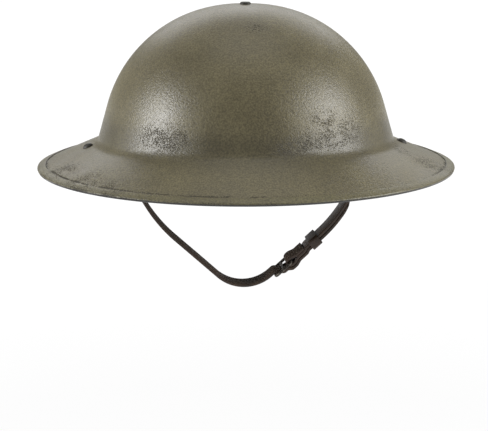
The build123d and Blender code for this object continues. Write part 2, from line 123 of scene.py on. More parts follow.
def calc(tree, kind, first, second=0.0):
    """One sum on shader values."""
    return node(tree, "Math", {0: first, 1: second}, operation=kind).outputs[0]


def ramp(tree, value, low, high, first=0.0, last=1.0, **settings):
    """A shader value carried from one range to another, and held at both ends."""
    inputs = {"Value": value, "From Min": low, "From Max": high, "To Min": first, "To Max": last}
    return node(tree, "MapRange", inputs, **settings).outputs[0]


# Under the helmet the paper shows the shadow, and farther off it is plain white to the eye
shadow_edge, white_edge = 0.5, 1.1
glow_share = 0.8
paper_tone = (0.7, 0.7, 0.7, 1)
paper_glow = 1.06
white = (1, 1, 1, 1)
floor_paper = bpy.data.materials.new("floor_paper")
floor_paper.use_nodes = True
tree = floor_paper.node_tree
tree.nodes.remove(tree.nodes["Principled BSDF"])
ray = node(tree, "LightPath").outputs
seen = calc(tree, "MAXIMUM", ray["Is Camera Ray"], ray["Is Glossy Ray"])
seen = calc(tree, "MAXIMUM", seen, ray["Is Transmission Ray"])
away = node(tree, "VectorMath", {0: node(tree, "TexCoord").outputs["Object"]}, operation="LENGTH")
share = calc(tree, "MULTIPLY", seen, ramp(tree, away.outputs["Value"], shadow_edge, white_edge, glow_share))
paper = node(tree, "BsdfDiffuse", {"Color": paper_tone})
glow = node(tree, "Emission", {"Color": white, "Strength": paper_glow})
lit = node(tree, "MixShader", {0: share, 1: paper.outputs[0], 2: glow.outputs[0]})
# From below, the paper is clear
below = node(tree, "NewGeometry").outputs["Backfacing"]
clear = node(tree, "BsdfTransparent")
both = node(tree, "MixShader", {0: below, 1: lit.outputs[0], 2: clear.outputs[0]})
feed(tree, tree.nodes["Material Output"].inputs["Surface"], both.outputs[0])
floor_mesh.materials.append(floor_paper)

surround_light, surround_sheen = 0.2, 0.3
surround = bpy.data.worlds.new("surround")
bpy.context.scene.world = surround
surround.use_nodes = True
tree = surround.node_tree
ray = node(tree, "LightPath").outputs
seen = calc(tree, "MAXIMUM", ray["Is Camera Ray"], ray["Is Transmission Ray"])
strength = ramp(tree, seen, 0, 1, surround_light)
strength = node(tree, "Mix", {0: ray["Is Glossy Ray"], 2: strength, 3: surround_sheen}).outputs[0]
background = tree.nodes["Background"].inputs
feed(tree, background["Strength"], strength)
feed(tree, background["Color"], white)


def softbox(name, turn, rise, distance, width, height, power):
    """A soft lamp that faces the helmet. Its turn is counted from the camera's line, leftward."""
    lamp = new_object(name, bpy.data.lights.new(name, "AREA"))
    lamp.data.shape = "RECTANGLE"
    lamp.data.size = width
    lamp.data.size_y = height
    lamp.data.energy = power
    angle = camera_turn + radians(turn)
    rise = radians(rise)
    lamp.location = distance * Vector((cos(rise) * sin(angle), cos(rise) * cos(angle), sin(rise)))
    lamp.rotation_mode = "QUATERNION"
    lamp.rotation_quaternion = (-lamp.location).to_track_quat("-Z", "Y")


softbox("left_lamp", 80, 17, 1.5, 0.65, 0.7, 18)
softbox("right_lamp", -76, 20, 1.5, 0.95, 0.95, 21)
softbox("back_lamp", 180, 28, 1.8, 1.8, 0.7, 7)
softbox("high_lamp", 180, 84, 1.8, 1.2, 1.2, 3.5)

bpy.context.scene.view_settings.view_transform = "Standard"


# Steel shell: one sheet pressed into a round bowl, with a shallow brim that slopes down all round.
# A small hollow curve joins the two, and a hole at the crown takes the liner's rivet.
shell_low, shell_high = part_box("helmet_shell")
bowl_height = shell_high.z
raw_half_width, raw_half_length = shell_high.x, shell_high.y
brim_edge = shell_low.z
bowl_half_width = 0.1017
bowl_half_length = 0.110
bowl_oval = bowl_half_length / bowl_half_width
crown_radius = 0.158
shoulder_off_axis = 0.0056
draft = radians(15.8)
steel = 0.0009
hollow_across, hollow_along = 0.009, 0.012
crown_hole = 0.00206
dome_rows, hollow_rows, slope_rows = 64, 10, 14
shell_steps = 320

crown_centre = bowl_height - crown_radius
wall_reach = (bowl_half_width - shoulder_off_axis) * cos(draft)
slack = crown_radius - wall_reach
middle = crown_centre + slack * sin(draft)
spread = middle**2 - cos(draft) ** 2 * (shoulder_off_axis**2 + crown_centre**2 - slack**2)
shoulder_height = (middle + sqrt(spread)) / cos(draft) ** 2
shoulder_radius = wall_reach - shoulder_height * sin(draft)
crown_angle = atan2(shoulder_off_axis, shoulder_height - crown_centre)

# The brim meets the bowl lower at the sides than at the front and back
foot_side = 0.0074
foot_end = 0.0009
foot_half_side = bowl_half_width + foot_side * tan(draft)
foot_half_end = bowl_half_length + foot_end * tan(draft) * bowl_oval
slope_across = atan2(-brim_edge - foot_side, raw_half_width - foot_half_side)
slope_along = atan2(-brim_edge - foot_end, raw_half_length - foot_half_end)


def bowl_reach(inset, height):
    """Half width of the bowl at a height, on the surface that lies one inset inside it."""
    arc = shoulder_radius - inset
    if height < shoulder_height + arc * sin(draft):
        return bowl_half_width - inset / cos(draft) - height * tan(draft)
    return shoulder_off_axis + sqrt(arc**2 - (height - shoulder_height) ** 2)


def bowl_rise(inset, reach):
    """Height of the bowl at a half width, on the surface that lies one inset inside it."""
    if reach < (crown_radius - inset) * sin(crown_angle):
        return crown_centre + sqrt((crown_radius - inset) ** 2 - reach**2)
    return shoulder_height + sqrt((shoulder_radius - inset) ** 2 - (reach - shoulder_off_axis) ** 2)


def dome_point(inset, lean):
    """The bowl's half width and height where its surface leans by this angle off level."""
    if lean < crown_angle:
        arc = crown_radius - inset
        return arc * sin(lean), crown_centre + arc * cos(lean)
    arc = shoulder_radius - inset
    return shoulder_off_axis + arc * sin(lean), shoulder_height + arc * cos(lean)


def corner_arc(corner, first_way, second_way, radius, steps):
    """Points of an arc that rounds the corner between two directions."""
    half = first_way.angle(second_way) / 2
    centre = corner + (first_way + second_way).normalized() * radius / sin(half)
    start = (corner + first_way * radius / tan(half) - centre).normalized()
    end = (corner + second_way * radius / tan(half) - centre).normalized()
    return [centre + start.slerp(end, step / steps) * radius for step in range(steps + 1)]


def sheet_side(inset):
    """Sections of one face of the sheet, from the crown's hole to the raw edge, across and along."""
    start = asin(crown_hole / (crown_radius - inset))
    leans = [start + (pi / 2 - draft - start) * row / dome_rows for row in range(dome_rows + 1)]
    across = [Vector(dome_point(inset, lean)) for lean in leans]
    along = [Vector((point.x * bowl_oval, point.y)) for point in across]
    for rows, stretch, foot, foot_half, raw, slope, hollow in (
        (across, 1, foot_side, foot_half_side, raw_half_width, slope_across, hollow_across),
        (along, bowl_oval, foot_end, foot_half_end, raw_half_length, slope_along, hollow_along),
    ):
        # The wall's line and the slope's line meet at this corner
        wall = bowl_reach(inset, 0) * stretch
        wall_fall = tan(draft) * stretch
        gap = foot_half - wall - (foot + inset / cos(slope)) / tan(slope)
        height = gap / (1 / tan(slope) - wall_fall)
        corner = Vector((wall - height * wall_fall, height))
        edge = Vector((raw - inset / sin(slope), brim_edge))
        upward = Vector((-wall_fall, 1)).normalized()
        rows += corner_arc(corner, upward, (edge - corner).normalized(), hollow + inset, hollow_rows)
        hollow_end = rows[-1]
        rows += [hollow_end.lerp(edge, row / slope_rows) for row in range(1, slope_rows + 1)]
    return list(zip(across, along))


def turns(count):
    """Even steps of one whole turn."""
    return [2 * pi * step / count for step in range(count)]


def skin(name, strips, finishes, joined=False, capped=False, crease=radians(40), sides=None):
    """A piece made of strips, each a row of rings that is joined into a hoop or capped at its ends.

    Where it has several finishes, sides gives the number of the finish for each step round a ring.
    """
    points = []
    faces = []
    numbers = []
    for rings in strips:
        count = len(rings[0])
        paints = sides or [0] * count
        first = len(points)
        points += [point for ring in rings for point in ring]
        for row in range(len(rings) if joined else len(rings) - 1):
            here = first + row * count
            there = first + (row + 1) % len(rings) * count
            for step in range(count):
                after = (step + 1) % count
                faces.append((here + step, here + after, there + after, there + step))
                numbers.append(paints[step])
        if capped:
            faces.append(tuple(range(first, first + count)))
            faces.append(tuple(range(len(points) - count, len(points))))
            numbers += [paints[0]] * 2
    mesh = bpy.data.meshes.new(name)
    mesh.from_pydata(points, [], faces)
    mesh.polygons.foreach_set("material_index", numbers)
    whole = bmesh.new()
    whole.from_mesh(mesh)
    bmesh.ops.recalc_face_normals(whole, faces=whole.faces)
    whole.to_mesh(mesh)
    whole.free()
    mesh.shade_smooth()
    mesh.set_sharp_from_angle(angle=crease)
    for finish in finishes:
        mesh.materials.append(finish)
    return new_object(name, mesh)


def new_finish(name, metallic=0):
    """A material with its node tree, its shader and its place in the object."""
    material = bpy.data.materials.new(name)
    material.use_nodes = True
    tree = material.node_tree
    shader = tree.nodes["Principled BSDF"]
    shader.inputs["Metallic"].default_value = metallic
    return material, tree, shader, node(tree, "TexCoord").outputs["Object"]


def mottle(tree, place, scale, detail, rough, swirl=0.0):
    """Uneven grain; scale is how many patches of it there are to the metre."""
    inputs = {"Vector": place, "Scale": scale, "Detail": detail, "Roughness": rough, "Distortion": swirl}
    return node(tree, "TexNoise", inputs).outputs[0]


def cloud(tree, place, scale, detail, rough, low=0.35, high=0.65):
    """Soft patches of grain between 0 and 1."""
    return ramp(tree, mottle(tree, place, scale, detail, rough), low, high)


def shade(tree, share, first, second, most=1.0):
    """A colour between two colours or two nodes' colours, at most so far towards the second."""
    if most < 1:
        share = calc(tree, "MULTIPLY", share, most)
    return node(tree, "Mix", {0: share, 6: first, 7: second}, data_type="RGBA").outputs[2]


def scaled(tree, vector, share):
    """A colour or a place times a share of itself."""
    return node(tree, "VectorMath", {0: vector, 1: share}, operation="MULTIPLY").outputs[0]


def coat(tree, shader, colour, roughness, layers):
    """Joins up a finish: its colour, its roughness, and its layers of raised grain."""
    feed(tree, shader.inputs["Base Color"], colour)
    feed(tree, shader.inputs["Roughness"], roughness)
    normal = None
    for height, distance, strength in layers:
        inputs = {"Height": height, "Distance": distance, "Strength": strength}
        if normal:
            inputs["Normal"] = normal
        normal = node(tree, "Bump", inputs).outputs[0]
    feed(tree, shader.inputs["Normal"], normal)


# Where the paint is rubbed: each spot's place and its reach
rubbed_spots = [
    ((0.0655, 0.0796, 0.0095), 0.022),
    ((0.0601, 0.0869, 0.0043), 0.022),
    ((0.0505, 0.092, 0.0097), 0.016),
    ((-0.0336, 0.1018, 0.0055), 0.02),
    ((-0.0512, 0.0918, 0.0084), 0.024),
    ((-0.0623, 0.0821, 0.012), 0.022),
    ((-0.0201, 0.1066, 0.0032), 0.018),
    ((-0.0445, 0.0919, 0.0204), 0.018),
    ((-0.003, 0.0541, 0.078), 0.014),
    ((0.1293, 0.0434, -0.0202), 0.026),
    ((0.1125, 0.0816, -0.0204), 0.026),
    ((0.0965, 0.1056, -0.0216), 0.02),
    ((-0.1219, 0.0489, -0.0179), 0.026),
    ((-0.1027, 0.0389, -0.0089), 0.018),
    ((0.035, -0.09, 0.03), 0.024),
    ((-0.06, -0.085, 0.01), 0.022),
    ((0.02, -0.13, -0.018), 0.02),
]
speck_stretch = 1.7
# Height of the painted shade in the hollow at the bowl's foot
crease_shade_height = 0.003
whole_side = -0.07
bare_steel = (0.03, 0.025, 0.018, 1)
# Near-black for the band's lowest edge: painted shade, with some worn paint
lip_shadow_steel = (0.012, 0.011, 0.009, 1)
band_reach = 0.0056
band_inner_width = raw_half_width - band_reach * cos(slope_across)
band_inner_length = raw_half_length - band_reach * cos(slope_along)


def worn_at(tree, stretched):
    """How rubbed the paint is: full round each spot, and fading to nothing at its reach."""
    total = 0.0
    for (x, y, z), reach in rubbed_spots:
        spot = (x, y, z * speck_stretch)
        off = node(tree, "VectorMath", {0: stretched, 1: spot}, operation="DISTANCE").outputs["Value"]
        total = calc(tree, "MAXIMUM", total, ramp(tree, off, reach, reach * 0.3))
    return total


def drab_paint(name, light, dark, brink, shaded_lip=False):
    """Khaki drab paint with fine sand in it: matt, uneven in tone, and rubbed to dark steel in specks.

    The brink is where a chipped line runs round the brim, as shares of the band's inner oval.
    On a shaded lip the lowest edge is painted near-black: painted shade under the band, with the paint worn
    off there too.
    """
    material, tree, shader, place = new_finish(name)
    shader.inputs["Specular IOR Level"].default_value = 0.7
    apart = node(tree, "SeparateXYZ", {0: place}).outputs
    stretched = scaled(tree, place, (1, 1, speck_stretch))
    tone = cloud(tree, place, 26, 5, 0.6)
    sand = cloud(tree, place, 900, 2, 0.6, 0.36, 0.64)
    colour = shade(tree, tone, dark, light)
    colour = scaled(tree, colour, ramp(tree, sand, 0, 1, 0.66, 1.28))
    # Painted shade: the paint is darkened low on the bowl, in the hollow where the brim begins
    off = calc(tree, "ABSOLUTE", calc(tree, "SUBTRACT", apart["Z"], crease_shade_height))
    grime_and_shade = ramp(tree, off, 0.002, 0.016, 0.68, 1, interpolation_type="SMOOTHSTEP")
    colour = scaled(tree, colour, grime_and_shade)
    # Beside the folded band the paint is chipped in a line, but hardly on the wearer's right
    oval = scaled(tree, place, (1 / band_inner_width, 1 / band_inner_length, 0))
    oval = node(tree, "VectorMath", {0: oval}, operation="LENGTH").outputs["Value"]
    edge = calc(tree, "MULTIPLY", ramp(tree, oval, *brink), cloud(tree, place, 60, 4, 0.7, 0.42, 0.52))
    off = calc(tree, "ABSOLUTE", calc(tree, "SUBTRACT", apart["X"], whole_side))
    edge = calc(tree, "MULTIPLY", edge, ramp(tree, off, 0.035, 0.075, 0.25))
    broken = cloud(tree, stretched, 90, 5, 0.7, 0.36, 0.52)
    rubbed = calc(tree, "MULTIPLY", worn_at(tree, stretched), broken)
    speck = mottle(tree, stretched, 900, 4, 0.7)
    speck = calc(tree, "ADD", speck, calc(tree, "MULTIPLY", rubbed, 0.145))
    speck = calc(tree, "ADD", speck, calc(tree, "MULTIPLY", edge, 0.25))
    chipped = ramp(tree, speck, 0.62, 0.7)
    colour = shade(tree, chipped, colour, bare_steel, 0.8)
    # Painted shade along the band's lowest edge, where the paint is also worn
    if shaded_lip:
        lip_shadow = ramp(tree, apart["Z"], brim_edge + 0.0001, brim_edge - 0.0004, 0, 0.95)
        colour = shade(tree, lip_shadow, colour, lip_shadow_steel)
    gloss = ramp(tree, tone, 0, 1, 0.33, 0.41)
    gloss = calc(tree, "ADD", gloss, calc(tree, "MULTIPLY", chipped, 0.4))
    lumps = mottle(tree, place, 420, 2, 0.5)
    coat(tree, shader, colour, gloss, [(lumps, 0.00026, 0.5), (sand, 0.0001, 0.6), (chipped, -0.0001, 0.6)])
    return material


shell_rings = []
for across, along in sheet_side(0) + sheet_side(steel)[::-1]:
    ring = []
    for turn in turns(shell_steps):
        height = across.y * cos(turn) ** 2 + along.y * sin(turn) ** 2
        ring.append((across.x * cos(turn), along.x * sin(turn), height))
    shell_rings.append(ring)
shell_paint = drab_paint("shell_paint", (0.159, 0.137, 0.071, 1), (0.124, 0.106, 0.055, 1), (0.982, 0.992))
shell = skin("steel_shell", [shell_rings], [shell_paint], joined=True)
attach(shell, "root")
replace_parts(shell, "helmet_shell")


# Rim band: a narrow strip of steel folded over the raw edge all round, so that it can't cut.
# Its two ends meet in a butt joint at the front, and the fold is a little uneven by hand.
band_sheet = 0.00075
band_nose = 0.0009
band_slip = 0.00006
band_joint_gap = 0.0006
band_steps = 420
fold_wander = 0.00035
arc_chord = 0.002


def rounded(points, radii, turn_step=radians(15)):
    """A closed outline whose corners are rounded, each with its own radius."""
    outline = []
    for index, radius in enumerate(radii):
        corner = Vector(points[index])
        before = (Vector(points[index - 1]) - corner).normalized()
        after = (Vector(points[(index + 1) % len(points)]) - corner).normalized()
        if not radius:
            outline.append(corner)
            continue
        bend = pi - before.angle(after)
        steps = max(2, int(bend / turn_step), int(bend * radius / arc_chord))
        outline += corner_arc(corner, before, after, radius, steps)
    return outline


top = band_slip + band_sheet
under = -steel - band_slip
# Each point is how far outward of the raw edge it lies, and how far above the slope
band_section = rounded(
    [
        (-band_reach, band_slip),
        (-band_reach, top),
        (band_nose, top),
        (band_nose, under - band_sheet),
        (-band_reach, under - band_sheet),
        (-band_reach, under),
        (band_nose - band_sheet, under),
        (band_nose - band_sheet, band_slip),
    ],
    [0.0001, 0.00045, 0.0009, 0.0009, 0.0003, 0.0001, 0, 0],
)
rim_rings = []
gap_turn = band_joint_gap / 2 / raw_half_width
for step in range(band_steps + 1):
    turn = -pi / 2 + gap_turn + (2 * pi - 2 * gap_turn) * step / band_steps
    edge = Vector((raw_half_width * cos(turn), raw_half_length * sin(turn), brim_edge))
    outward = Vector((cos(turn) / raw_half_width, sin(turn) / raw_half_length, 0)).normalized()
    slope = slope_across * cos(turn) ** 2 + slope_along * sin(turn) ** 2
    along = outward * cos(slope) - Vector((0, 0, sin(slope)))
    normal = outward * sin(slope) + Vector((0, 0, cos(slope)))
    uneven = noise.noise(Vector((cos(turn) * 5, sin(turn) * 5, 0)))
    ring = []
    for out, above in band_section:
        fold = max(0.0, min(1.0, -out / band_reach))
        shifted = out + uneven * fold_wander * fold
        ring.append(edge + along * shifted + normal * above)
    rim_rings.append(ring)
band_paint = drab_paint("band_paint", (0.156, 0.138, 0.068, 1), (0.122, 0.106, 0.052, 1), (1.03, 1.05), True)
rim = skin("folded_rim_band", [rim_rings], [band_paint], capped=True)
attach(rim, "root")
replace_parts(rim, "rim_band")


# Side rivets and their brackets: a domed rivet each side holds a doubled steel strip under the brim.
# The strip is folded round into an eye for the bale, and all of it is dipped in dark paint.
def tinted(base, share, lift=0.0):
    """A lighter or a darker shade of a colour."""
    return [min(1, part * share + lift) for part in base[:3]] + [1]


def dark_metal(name, paint, bare, metallic, wear):
    """A dark finish on steel, rubbed through to the metal in small patches."""
    material, tree, shader, place = new_finish(name, metallic)
    patches = cloud(tree, place, 420, 5, 0.7, wear, wear + 0.12)
    tone = cloud(tree, place, 130, 3, 0.6)
    colour = shade(tree, tone, paint, tinted(paint, 1.5))
    colour = shade(tree, patches, colour, bare)
    gloss = ramp(tree, tone, 0, 1, 0.36, 0.6)
    coat(tree, shader, colour, gloss, [(tone, 0.0002, 0.3), (patches, -0.00006, 0.4)])
    return material


def dress(names, material):
    """Gives a finish to CAD nodes that are shown as they are."""
    for name in names:
        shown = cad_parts[name]
        shown.data.materials.clear()
        shown.data.materials.append(material)


rivet_dark = (0.026, 0.024, 0.019, 1)
rivet_bare = (0.11, 0.1, 0.085, 1)
dress(
    ("crown_rivet", "side_rivet_left", "side_rivet_right", "strap_bracket_left", "strap_bracket_right"),
    dark_metal("rivet_paint", rivet_dark, rivet_bare, 0.0, 0.62),
)


# Bales: stout wire bent into a closed loop, one each side, that hangs from the bracket's eye.
# The wire was blackened, and it is dull and a little rusty.
wire_black = (0.07, 0.062, 0.053, 1)
wire_rust = (0.1, 0.055, 0.03, 1)
dress(("bale_left", "bale_right"), dark_metal("bale_wire", wire_black, wire_rust, 0.75, 0.55))


# Liner bands: two bands of black oiled cloth, folded to a hem at both edges and sewn along them.
# The outer one lies against the steel, and the inner one goes round the head.
band_height = 0.038
liner_clearance = 0.0008
outer_cloth = 0.0016
inner_cloth = 0.002
tube_radius = 0.006
tube_clearance = 0.00015
hem, hem_cloth = 0.0065, 0.0004
seam_in = 0.0035
hoop_steps, hoop_stitches = 240, 150
hoop_wander = 0.00012
liner_spring = bowl_reach(steel, 0)
liner_narrowing = (bowl_reach(steel, 0) - bowl_reach(steel, band_height)) / band_height
tube_room = (tube_radius + tube_clearance) * sqrt(1 + (liner_narrowing * bowl_oval) ** 2)
tube_inset = liner_clearance + outer_cloth + tube_room
head_band_inset = tube_inset + tube_room


def liner_point(inset, height, turn):
    """A point of the liner, one inset in from the bowl's inner wall."""
    across = liner_spring - liner_narrowing * height
    return Vector(((across - inset) * cos(turn), (across * bowl_oval - inset) * sin(turn), height))


def crazing(tree, place, scale, width):
    """A net of fine cracks; scale is how many cells it has to the metre."""
    cells = node(tree, "TexVoronoi", {"Vector": place, "Scale": scale}, feature="DISTANCE_TO_EDGE")
    return ramp(tree, cells.outputs["Distance"], width, 0)


# The cloth is glossy over a fine weave, crazed, and greyed where it rubs
black = (0.018, 0.017, 0.016, 1)
black_cloth, tree, shader, place = new_finish("black_oilcloth")
fine_weave = mottle(tree, place, 1500, 1, 0.5)
crack = calc(tree, "MULTIPLY", crazing(tree, place, 300, 0.05), cloud(tree, place, 60, 3, 0.6, 0.45, 0.7))
rubbed = cloud(tree, place, 90, 5, 0.7, 0.48, 0.75)
colour = shade(tree, rubbed, black, tinted(black, 3, 0.02), 0.5)
colour = shade(tree, crack, colour, (0.11, 0.085, 0.06, 1), 0.6)
gloss = ramp(tree, rubbed, 0, 1, 0.3, 0.62)
coat(tree, shader, colour, gloss, [(fine_weave, 0.0001, 0.35), (crack, -0.00012, 0.5)])

# The thread is waxed linen, pale and matt, with the twist of its plies
linen = (0.3, 0.26, 0.19, 1)
linen_thread, tree, shader, place = new_finish("linen_thread")
colour = shade(tree, cloud(tree, place, 150, 4, 0.65), tinted(linen, 0.45), linen)
coat(tree, shader, colour, 0.75, [(mottle(tree, place, 2600, 2, 0.6), 0.0003, 0.6)])
stitch_length = 0.0025
stitch_thick = 0.00035


def stitches(name, places, body):
    """Rows of sewn stitches; each place is its middle, the way it runs and the way it stands out."""
    strips = []
    for middle, way, out in places:
        side = way.cross(out).normalized()
        rings = []
        for step in range(6):
            share = -1 + 2 * step / 5
            swell = sqrt(max(0.08, 1 - share * share))
            centre = middle + way * (share * stitch_length / 2)
            thick = stitch_thick * swell
            rings.append([centre + (side * cos(turn) + out * sin(turn)) * thick for turn in turns(6)])
        strips.append(rings)
    piece = skin(name, strips, [linen_thread], capped=True, crease=pi)
    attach(piece, body)


def hooped(name, inset, thick):
    """One of the liner's bands, with a hem folded to its inner face and sewn at each edge."""
    face = inset + thick
    sunk = inset + (thick - hem_cloth)
    profile = rounded(
        [
            (inset, 0),
            (inset, band_height),
            (face, band_height),
            (face, band_height - hem),
            (sunk, band_height - hem - hem_cloth),
            (sunk, hem + hem_cloth),
            (face, hem),
            (face, 0),
        ],
        [0.0006, 0.0006, 0.0006, 0.0002, 0.0002, 0.0002, 0.0002, 0.0006],
        radians(30),
    )
    rings = []
    for turn in turns(hoop_steps):
        uneven = noise.noise(Vector((cos(turn) * 6, sin(turn) * 6, inset * 900))) * hoop_wander
        rings.append([liner_point(deep + uneven, height, turn) for deep, height in profile])
    band = skin("cloth_" + name, [rings], [black_cloth], joined=True)
    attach(band, "root")
    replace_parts(band, name)
    seams = []
    for height in (seam_in, band_height - seam_in):
        for turn in turns(hoop_stitches):
            middle = liner_point(face, height, turn)
            ahead = liner_point(face, height, turn + 0.001)
            seams.append((middle, (ahead - middle).normalized(), -Vector((cos(turn), sin(turn), 0))))
    stitches(name + "_stitches", seams, "root")


hooped("outer_band", liner_clearance, outer_cloth)
hooped("head_band", head_band_inset, inner_cloth)


# Rubber tubes: twelve short lengths of grey tube stand between the bands and soften a blow.
# Each is held to the outer band by a brass pin through its wall, whose two legs are bent flat.
tube_bore = 0.0032
tube_half = 0.018
tube_section = rounded(
    [(tube_bore, -tube_half), (tube_radius, -tube_half), (tube_radius, tube_half), (tube_bore, tube_half)],
    [0.0003, 0.0005, 0.0005, 0.0003],
    radians(30),
)

# The rubber is aged: dull, with a pale bloom, and dust in its pores
rubber = (0.085, 0.078, 0.07, 1)
grey_rubber, tree, shader, place = new_finish("grey_rubber")
bloom = cloud(tree, place, 70, 5, 0.65)
pores = cloud(tree, place, 900, 3, 0.6, 0.55, 0.7)
colour = shade(tree, bloom, rubber, tinted(rubber, 1.9, 0.01), 0.6)
colour = shade(tree, pores, colour, (0.03, 0.027, 0.024, 1), 0.5)
coat(tree, shader, colour, 0.75, [(bloom, 0.0003, 0.2), (pores, -0.0001, 0.5)])

tube_count = 12
squeezed_out, squeezed_round = 1.012, 1.03
for index in range(tube_count):
    turn = 2 * pi * (index + 0.5) / tube_count
    foot = liner_point(0, 0, turn)
    head = liner_point(0, band_height, turn)
    upward = (head - foot).normalized()
    around = Vector((-liner_spring * sin(turn), liner_spring * bowl_oval * cos(turn), 0)).normalized()
    outward = around.cross(upward)
    middle = liner_point(tube_inset, band_height / 2, turn)
    rings = []
    for angle in turns(32):
        spoke = outward * cos(angle) * squeezed_out + around * sin(angle) * squeezed_round
        rings.append([middle + spoke * radius + upward * height for radius, height in tube_section])
    tube = skin(f"rubber_tube_{index + 1:02d}", [rings], [grey_rubber], joined=True)
    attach(tube, "root")
    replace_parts(tube, f"buffer_{index + 1:02d}")

brass_bright = (0.42, 0.3, 0.13, 1)
brass_dull = (0.13, 0.095, 0.05, 1)
dress(("buffer_pins",), dark_metal("pin_brass", brass_dull, brass_bright, 1.0, 0.45))


# Crown straps: two strips of the same black cloth cross under the crown and hang down to the outer band.
# Their ends are sewn to its inner face, and the crown's rivet goes through their crossing.
strip_half = 0.015
strip_cloth = 0.0008
strip_lap = 0.012
strip_slack = 0.0001
strip_steps = 40
lowest_lean = radians(72)
clear_of_band = 0.003
stitch_pitch = 0.0038
strip_section = [(-strip_half + strip_half / 6 * step, strip_cloth / 2) for step in range(13)]
strip_section += [(strip_half - strip_half / 6 * step, -strip_cloth / 2) for step in range(13)]


def way_at(line, index):
    """The direction of a line at one of its points."""
    return (line[min(index + 1, len(line) - 1)] - line[max(index - 1, 0)]).normalized()


def crown_strip(name, inset, lengthwise):
    """One strip over the crown: its arc below the steel, then its two ends laid on the outer band."""
    half = []
    for step in range(strip_steps + 1):
        reach, height = dome_point(inset + strip_cloth / 2, lowest_lean * step / strip_steps)
        if height > band_height + clear_of_band:
            half.append(Vector((reach, height)))
    face = liner_clearance + outer_cloth + strip_cloth / 2 + strip_slack
    for drop in (0, 0.003, 0.006, strip_lap):
        height = band_height - drop
        half.append(Vector((liner_spring - liner_narrowing * height - face, height)))
    arc = [Vector((-place.x, place.y)) for place in half[:0:-1]] + half
    rings = []
    for index, place in enumerate(arc):
        way = way_at(arc, index)
        out = Vector((-way.y, way.x))
        ring = []
        for across, above in strip_section:
            spot = place + out * above
            # Off its middle line the strip keeps to the dome, which falls away to both sides
            side = across if lengthwise else across / bowl_oval
            fall = side**2 / (2 * crown_radius)
            if abs(spot.x) > 0.02:
                off = hypot(abs(spot.x), side) - abs(spot.x)
                fall = off * abs(way.y) / max(0.3, abs(way.x))
            if lengthwise:
                ring.append((-across, spot.x * bowl_oval, spot.y - fall))
            else:
                ring.append((spot.x, across, spot.y - fall))
        rings.append(ring)
    strip = skin(name, [rings], [black_cloth], capped=True)
    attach(strip, "root")
    return strip


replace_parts(crown_strip("crown_strip_across", 0.0012, False), "crown_straps")
crown_strip("crown_strip_along", 0.002, True)

seams = []
face = liner_clearance + outer_cloth + strip_cloth + strip_slack
for turn in turns(4):
    inward = -Vector((cos(turn), sin(turn), 0))
    sideways = inward.cross(Vector((0, 0, 1)))
    for height in (band_height - seam_in, band_height - strip_lap + 0.002):
        middle = liner_point(face, height, turn)
        seams += [(middle + sideways * step * stitch_pitch, sideways, inward) for step in range(-3, 4)]
stitches("crown_strip_stitches", seams, "root")


# Crown pads: a disc of rubber, then a thick ring of felt, lie between the crossed straps and the net.
# A washer under the rubber spreads the pull of the crown's rivet.
layer_grid = 0.003


def dome_layer(name, finish, stood_for, hole, rim, top, under, corner):
    """A round layer that follows the bowl's dome between two insets."""
    profile = rounded([(hole, top), (rim, top), (rim, under), (hole, under)], [corner] * 4, radians(22))
    filled = []
    for place, following in zip(profile, profile[1:] + profile[:1]):
        pieces = max(1, int((following - place).length / layer_grid))
        filled += [place.lerp(following, part / pieces) for part in range(pieces)]
    rings = []
    for turn in turns(96):
        flat = hypot(cos(turn), sin(turn) / bowl_oval)
        ring = [(out * cos(turn), out * sin(turn), bowl_rise(inset, out * flat)) for out, inset in filled]
        rings.append(ring)
    layer = skin(name, [rings], [finish], joined=True)
    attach(layer, "root")
    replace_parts(layer, stood_for)
    return layer


rubber_size = {"hole": 0.0021, "rim": 0.019, "top": 0.0031, "under": 0.0071, "corner": 0.0006}
rubber_disc = dome_layer("rubber_disc", grey_rubber, "crown_buffer", **rubber_size)

net_foot = 0.033
net_slack = 0.0003
net_edge = liner_spring - liner_narrowing * net_foot - (head_band_inset + inner_cloth + net_slack)
net_inset = shoulder_radius - hypot(net_edge - shoulder_off_axis, net_foot - shoulder_height)

felt, tree, shader, place = new_finish("pressed_felt")
shader.inputs["Sheen Weight"].default_value = 0.4
shader.inputs["Sheen Roughness"].default_value = 0.6
matting = cloud(tree, place, 160, 5, 0.7)
fibres = mottle(tree, place, 1400, 4, 0.75, 1.5)
colour = shade(tree, matting, (0.17, 0.135, 0.085, 1), (0.3, 0.25, 0.17, 1))
colour = shade(tree, fibres, colour, (0.42, 0.37, 0.27, 1), 0.35)
coat(tree, shader, colour, 0.95, [(matting, 0.0006, 0.4), (fibres, 0.0005, 0.7)])
felt_size = {"hole": 0.01, "rim": 0.046, "top": 0.0074, "under": net_inset - net_slack, "corner": 0.0026}
felt_ring = dome_layer("felt_ring", felt, "felt_pad", **felt_size)

washer_grey = (0.16, 0.15, 0.135, 1)
washer_bright = (0.36, 0.35, 0.33, 1)
dress(("crown_washer",), dark_metal("washer_steel", washer_grey, washer_bright, 0.9, 0.5))


# Crown net: cotton twine knotted into a net of diamonds that rests on the wearer's head.
# Its foot is looped to the head band, and a twisted lace drawn through its top row sets how deep it hangs.
twine_radius = 0.0006
net_columns = 28
net_rows = 7
top_row_reach = 0.0235
knot_step = 0.00062
loop_back, loop_rise = 0.0019, 0.0018
lace_run = 0.0193
lace_radius = 0.00125
net_line = net_inset + 0.0008
lace_height = bowl_rise(net_inset + lace_radius, lace_run)


def net_point(row, column):
    """A knot's place, with the rows counted up from the foot and every other row moved on by half a cell."""
    low = asin((net_edge - shoulder_off_axis) / (shoulder_radius - net_line))
    high = asin(top_row_reach / (crown_radius - net_line))
    share = row / (net_rows - 1)
    reach, height = dome_point(net_line, low + (high - low) * share**0.92)
    turn = 2 * pi * (column + row % 2 / 2) / net_columns
    # The net is oval at its foot and round at its top
    length = reach * bowl_oval * (1 - share) + reach * share
    return Vector((reach * cos(turn), length * sin(turn), height))


